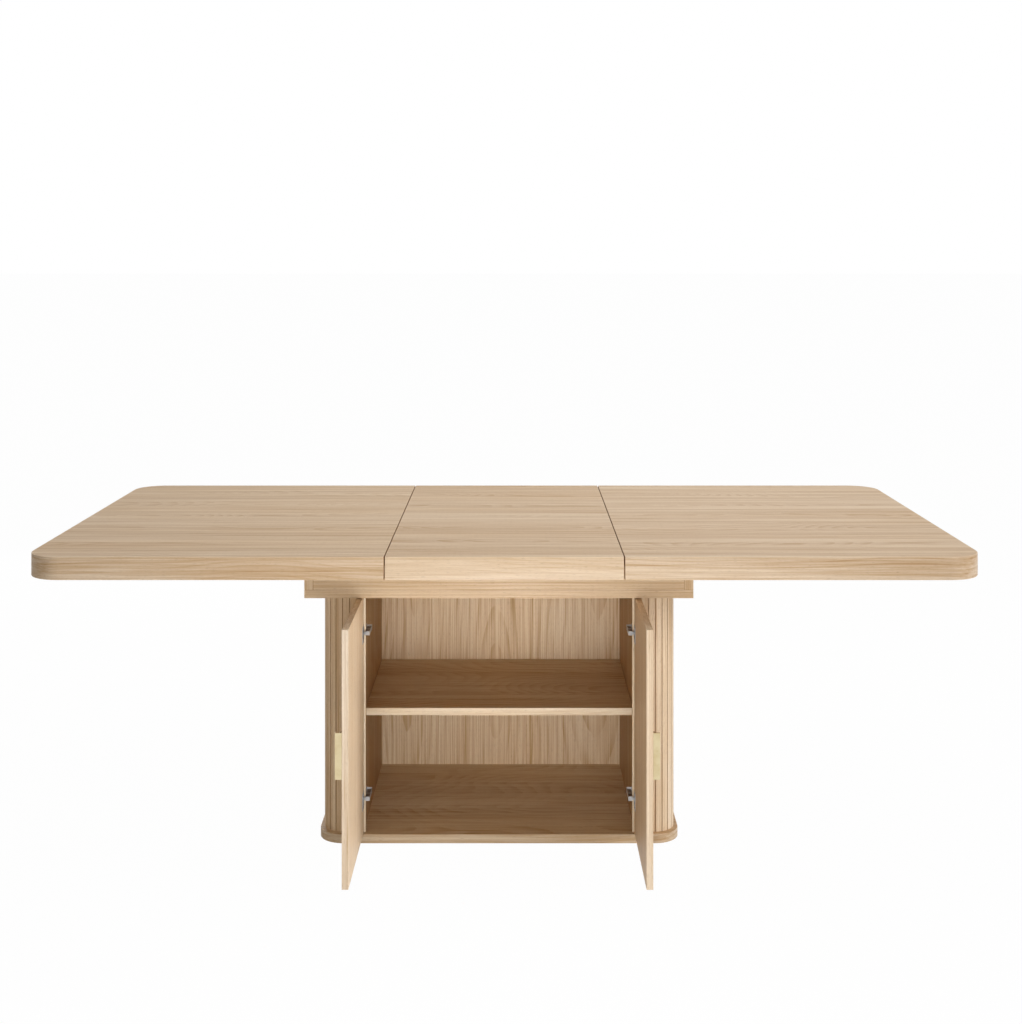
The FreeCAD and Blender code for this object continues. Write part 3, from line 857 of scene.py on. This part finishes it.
def folded_arm(bm):
    """Hollow the arm from above and below, as folded sheet is."""
    slimmed(bm)
    bm.normal_update()
    wide = [f for f in bm.faces if abs(f.normal.z) > 0.9 and f.calc_area() > CHANNEL_AREA]
    bmesh.ops.inset_individual(
        bm, faces=wide, thickness=SHEET, depth=-CHANNEL_DEPTH, use_even_offset=True
    )


def channel_painted_shade(face):
    """The floor of the channel is darkened, a painted shade for the shadow inside it."""
    wide = face.calc_area() > CHANNEL_AREA / 2
    return 0.7 if wide and abs(face.normal.z) > 0.9 else 0.0


for half in ("left", "right"):
    for level in ("lower", "upper"):
        eased_board(
            f"{half}_{level}_hinge_arm",
            "cabinet",
            NICKEL,
            ARM_RADIUS,
            shade=channel_painted_shade,
            carve=folded_arm,
        )
        eased_board(
            f"{half}_{level}_hinge_cup",
            f"{half}_door",
            NICKEL,
            CUP_RADIUS,
            carve=slimmed,
        )
print("hinge pieces", len([n for n in NODES if "hinge" in n]))

# %% [markdown]
# ## Screws
# Two screws hold each hinge arm to the side and two hold each cup to its door. The
# head is a low cone with a rounded rim. Its cross is cut with operators alone: planes
# bisect the top face, and the pieces that lie in the cross are pushed down.

# %% One screw head
HEAD_HEIGHT = 0.0009
CROSS_HALF = 0.0005
CROSS_REACH = 0.62


def screw_head(name, place, facing, radius, body):
    """A cross-head screw at a place, looking along X: facing is 1.0 or -1.0."""
    bm = bmesh.new()
    bmesh.ops.create_cone(
        bm, cap_ends=True, segments=20, radius1=radius, radius2=radius * 0.9, depth=HEAD_HEIGHT
    )
    rim = [e for e in bm.edges if all(v.co.z > 0 for v in e.verts)]
    bmesh.ops.bevel(
        bm,
        geom=rim,
        offset=HEAD_HEIGHT * 0.35,
        offset_type="OFFSET",
        segments=2,
        profile=0.5,
        affect="EDGES",
        material=-1,
    )
    reach = radius * CROSS_REACH
    for axis in (Vector((1, 0, 0)), Vector((0, 1, 0))):
        for level in (-reach, -CROSS_HALF, CROSS_HALF, reach):
            top = [f for f in bm.faces if f.normal.z > 0.99]
            edges = {e for f in top for e in f.edges}
            corners = {v for f in top for v in f.verts}
            geom = [*top, *edges, *corners]
            bmesh.ops.bisect_plane(bm, geom=geom, plane_co=axis * level, plane_no=axis)
    cross = []
    for face in bm.faces:
        centre = face.calc_center_median()
        across, along = sorted((abs(centre.x), abs(centre.y)))
        if face.normal.z > 0.99 and across < CROSS_HALF and along < reach:
            cross.append(face)
    sunk = bmesh.ops.extrude_face_region(bm, geom=cross)
    bmesh.ops.delete(bm, geom=cross, context="FACES")
    moved = [v for v in sunk["geom"] if isinstance(v, bmesh.types.BMVert)]
    bmesh.ops.translate(bm, verts=moved, vec=(0, 0, -HEAD_HEIGHT * 0.8))
    turn = Matrix.Rotation(facing * math.pi / 2, 4, "Y")
    bmesh.ops.rotate(bm, verts=bm.verts, matrix=turn)
    centre = Vector(place) + Vector((facing * HEAD_HEIGHT * 0.5, 0, 0))
    bmesh.ops.translate(bm, verts=bm.verts, vec=centre)
    bmesh.ops.recalc_face_normals(bm, faces=bm.faces)
    return finished(bm, name, body, STEEL)


print("a head stands", HEAD_HEIGHT * 1000, "mm proud")


# %% Screws of the four hinges
BRIGHT_STEEL = srgb(176, 178, 182)
DULL_STEEL = srgb(150, 152, 156)
STEEL = brushed("screw_steel", BRIGHT_STEEL, DULL_STEEL, (400, 400, 400), 0.38, PAINTED_SHADE_STEEL)
ARM_SCREW_RADIUS = 0.0027
CUP_SCREW_RADIUS = 0.0028
ARM_SCREWS = (0.012, 0.030)
CUP_SCREWS = (-0.0168, 0.0168)
heads = 0
for half, facing in (("left", 1.0), ("right", -1.0)):
    for level in ("lower", "upper"):
        arm_low, arm_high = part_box(f"{half}_{level}_hinge_arm")
        cup_low, cup_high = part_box(f"{half}_{level}_hinge_cup")
        height = (arm_low.z + arm_high.z) / 2
        arm_face = arm_high.x if facing > 0 else arm_low.x
        cup_face = cup_high.x if facing > 0 else cup_low.x
        for number, inset in enumerate(ARM_SCREWS):
            name = f"{half}_{level}_arm_screw_{number}"
            place = (arm_face, arm_high.y - inset, height)
            screw_head(name, place, facing, ARM_SCREW_RADIUS, "cabinet")
            heads += 1
        for number, rise in enumerate(CUP_SCREWS):
            name = f"{half}_{level}_cup_screw_{number}"
            place = (cup_face, (cup_low.y + cup_high.y) / 2, height + rise)
            screw_head(name, place, facing, CUP_SCREW_RADIUS, f"{half}_door")
            heads += 1
print("screw heads", heads)

# %% [markdown]
# ## Camera
# The camera stands level and looks along +Y, so upright lines stay upright; the
# lens is shifted down instead of tilting the camera. Where the eye stands above the
# floor follows from the height at which the depth lines meet.

# %% Camera
FRAME_PIXELS = 1024
FOCAL_PIXELS = 1500
EYE = Vector((0.0213, -3.969, 1.430))
VANISHING_POINT = (513.7, 263.04)
FRAME_CENTRE = (511.0, 512.0)

lens = bpy.data.cameras.new("camera")
lens.sensor_width = 36.0
lens.lens = FOCAL_PIXELS / FRAME_PIXELS * lens.sensor_width
lens.shift_x = (FRAME_CENTRE[0] - VANISHING_POINT[0]) / FRAME_PIXELS
lens.shift_y = (VANISHING_POINT[1] - FRAME_CENTRE[1]) / FRAME_PIXELS
camera = bpy.data.objects.new("camera", lens)
camera.location = EYE
camera.rotation_euler = (math.pi / 2, 0.0, 0.0)
bpy.context.scene.collection.objects.link(camera)
bpy.context.scene.camera = camera
print("lens", round(lens.lens, 1), "mm, eye at", [round(v, 3) for v in EYE])


# %% [markdown]
# ## Lamps
# Furniture is lit with large soft boxes, whose shadows have no hard edge. One from
# the front right does the modelling. Weak ones open up the cabinet and the rear, and
# the white room fills what is left. A sky picture would do as well, but lamps can be
# placed one by one.


# %% Lamps
def soft_lamp(name, place, target, size, power, gloss=True, spread=180, tint=(1, 1, 1)):
    """A round soft box. A fill without gloss lights the wood but puts no glare on metal."""
    light = bpy.data.lights.new(name, "AREA")
    light.shape = "DISK"
    light.size = size
    light.energy = power
    light.spread = math.radians(spread)
    light.color = tint
    lamp = bpy.data.objects.new(name, light)
    lamp.location = place
    lamp.rotation_mode = "QUATERNION"
    aim = Vector(target) - Vector(place)
    lamp.rotation_quaternion = aim.to_track_quat("-Z", "Y")
    lamp.visible_camera = False
    lamp.visible_glossy = gloss
    bpy.context.scene.collection.objects.link(lamp)
    return lamp


RIGHT_LAMP = (9.35, -4.04, 2.75)
COOL = (0.99, 1.0, 1.04)
WARM = (1.0, 0.92, 0.80)
soft_lamp("right_front", RIGHT_LAMP, (0.0, -0.3, 0.45), 2.6, 515.0, gloss=False, tint=COOL)
soft_lamp("front_floor", (0.05, -1.9, 0.15), (0.0, 0.0, 0.45), 0.9, 9.8, gloss=False)
soft_lamp("front", (0.05, -2.6, 0.45), (0.0, -0.3, 0.4), 1.4, 11.5, gloss=False)
soft_lamp("into_cabinet", (0.0, -3.0, 0.40), (0.0, 0.2, 0.42), 0.3, 0.17, gloss=False, spread=16)
soft_lamp("overhead", (0.35, 0.2, 3.2), (0.1, 0.0, 0.7), 2.6, 30.0)
soft_lamp("left", (-5.0, 0.6, 1.3), (0.0, -0.3, 0.45), 1.5, 9.0, tint=WARM)
soft_lamp("rear", (1.2, 2.6, 2.8), (0.1, 0.0, 0.7), 1.8, 7.4)
soft_lamp("rear_low", (-1.5, 4.0, 0.36), (0.0, 0.3, 0.36), 0.7, 60.0)
print("lamps", {light.name: round(light.energy, 2) for light in bpy.data.lights})


# %% [markdown]
# ## White floor and room
# A floor that is lit to white would throw that light at the table. So the floor and
# the room are plain to light and white only to the eye and to mirrors. The floor
# keeps a trace of its own shading, which is the table's shadow.


# %% White floor
FLOOR_SIZE = 400.0
FLOOR_WHITE = 0.985
WHITE = (1.0, 1.0, 1.0, 1.0)


def white_to_camera(graph, lit, white, share):
    """The lit shader for light, and this share of plain white for the eye and mirrors."""
    path = graph.add("ShaderNodeLightPath")
    seen = path.out("Is Camera Ray").maths("MAXIMUM", path.out("Is Glossy Ray"))
    seen = seen.maths("MAXIMUM", path.out("Is Transmission Ray"))
    return graph.add("ShaderNodeMixShader", {}, seen * share, lit, white)


graph = Graph(bpy.data.materials.new("pale_floor"))
lit = graph.add("ShaderNodeBsdfDiffuse", {}, Color=(0.86, 0.86, 0.86, 1.0))
white = graph.add("ShaderNodeEmission", {}, Color=WHITE, Strength=1.0)
floor_finish = graph.end(
    "ShaderNodeOutputMaterial", white_to_camera(graph, lit, white, FLOOR_WHITE)
)
bm = bmesh.new()
bmesh.ops.create_grid(bm, x_segments=1, y_segments=1, size=FLOOR_SIZE / 2)
floor_mesh = bpy.data.meshes.new("floor")
bm.to_mesh(floor_mesh)
bm.free()
floor_mesh.materials.append(floor_finish)
floor = bpy.data.objects.new("floor", floor_mesh)
bpy.context.scene.collection.objects.link(floor)
print("floor", FLOOR_SIZE, "m across")

# %% White room
ROOM_LIGHT = 0.175
ROOM_TINT = (1.0, 0.95, 0.88, 1.0)
graph = Graph(bpy.data.worlds.new("white room"))
lit = graph.add("ShaderNodeBackground", {}, Color=ROOM_TINT, Strength=ROOM_LIGHT)
white = graph.add("ShaderNodeBackground", {}, Color=WHITE, Strength=1.0)
bpy.context.scene.world = graph.end(
    "ShaderNodeOutputWorld", white_to_camera(graph, lit, white, 1.0)
)
bpy.context.scene.view_settings.view_transform = "Standard"
print("room light", ROOM_LIGHT)
